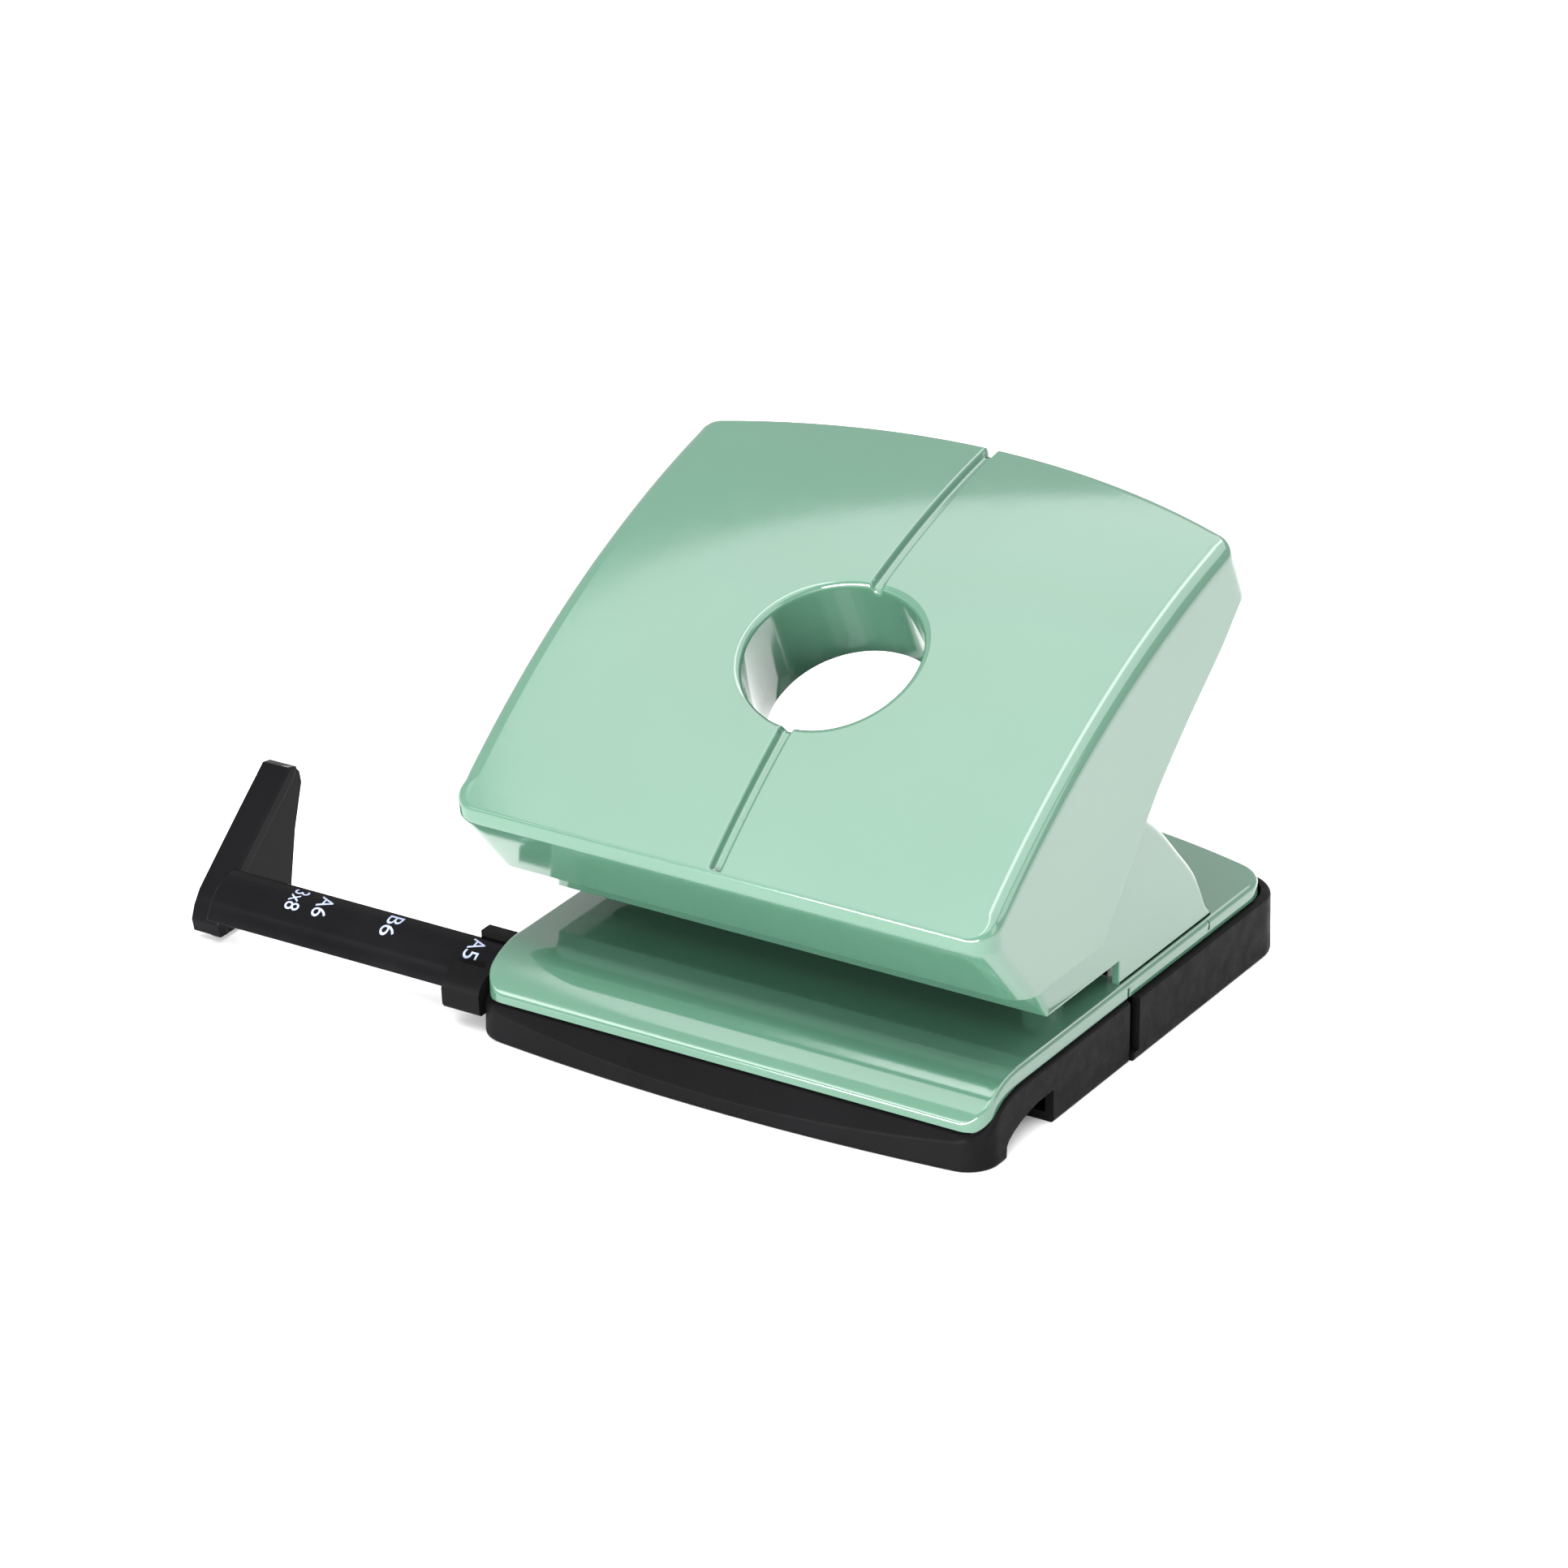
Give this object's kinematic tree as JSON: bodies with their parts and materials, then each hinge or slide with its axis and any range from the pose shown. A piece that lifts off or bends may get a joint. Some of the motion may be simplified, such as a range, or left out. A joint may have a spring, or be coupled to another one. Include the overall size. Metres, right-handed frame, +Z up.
{
  "type": "hole punch",
  "caption": "Desk punch for two filing holes, with a broad bowed press handle with a finger hole, a paper slot, a slide-out paper stop and a fold-down chip tray.",
  "frame": {"origin": "middle of the punch's footprint on the table, halfway between its sides", "axes": "+Z up; +Y from the paper-entry side to the rear; +X to the right as seen from the paper-entry side; the paper stop slides out along -X"},
  "size_m": [0.1626, 0.1133, 0.0868],
  "materials": {
    "mint_plastic": "glossy mint-green moulded ABS",
    "black_plastic": "fine satin black moulded plastic",
    "rail_plastic": "black moulded plastic, printed with paper format marks",
    "frame_steel": "zinc-plated sheet steel",
    "tool_steel": "ground and hardened tool steel",
    "spring_steel": "spring steel"
  },
  "bodies": {
    "base": {"base_plate": "mint_plastic", "punch_cover": "mint_plastic", "base_tray": "black_plastic", "steel_base": "frame_steel", "frame_left": "frame_steel", "hinge_pin_left": "frame_steel", "cover_screw_left": "frame_steel", "frame_right": "frame_steel", "hinge_pin_right": "frame_steel", "cover_screw_right": "frame_steel", "rivet_left_front": "frame_steel", "rivet_left_rear": "frame_steel", "rivet_right_front": "frame_steel", "rivet_right_rear": "frame_steel", "die_left": "tool_steel", "die_right": "tool_steel", "rail_spring": "spring_steel", "return_spring_left": "spring_steel", "hinge_clip_left": "spring_steel", "return_spring_right": "spring_steel", "hinge_clip_right": "spring_steel"},
    "handle": {"handle_cover": "mint_plastic", "handle_lever": "frame_steel"},
    "pin_left": {"punch_pin_left": "tool_steel", "retainer_left": "spring_steel"},
    "pin_right": {"punch_pin_right": "tool_steel", "retainer_right": "spring_steel"},
    "paper_stop": {"format_rail": "rail_plastic"},
    "chip_flap": {"chip_tray": "black_plastic"}
  },
  "joints": [
    {"name": "handle_hinge", "type": "hinge", "parent": "base", "child": "handle", "pos_m": [0, -0.024, 0.038], "axis": [-1, 0, 0], "range_deg": [0, 25]},
    {"name": "pin_slide_left", "type": "slide", "parent": "base", "child": "pin_left", "axis": [0, 0, -1], "range_m": [0, 0.0075], "stiffness_N_per_m": 600, "springref_m": -0.006, "deforming": ["return_spring_left"]},
    {"name": "pin_slide_right", "type": "slide", "parent": "base", "child": "pin_right", "axis": [0, 0, -1], "range_m": [0, 0.0075], "stiffness_N_per_m": 600, "springref_m": -0.006, "deforming": ["return_spring_right"]},
    {"name": "stop_slide", "type": "slide", "parent": "base", "child": "paper_stop", "axis": [-1, 0, 0], "range_m": [-0.0368, 0.0432]},
    {"name": "chip_flap_hinge", "type": "hinge", "parent": "base", "child": "chip_flap", "pos_m": [0, 0.00705, 0], "axis": [-1, 0, 0], "range_deg": [0, 75]}
  ],
  "couplings": [
    {"joint": "pin_slide_left", "follows": "handle_hinge", "m_per_rad": 0.01708},
    {"joint": "pin_slide_right", "follows": "handle_hinge", "m_per_rad": 0.01708}
  ]
}
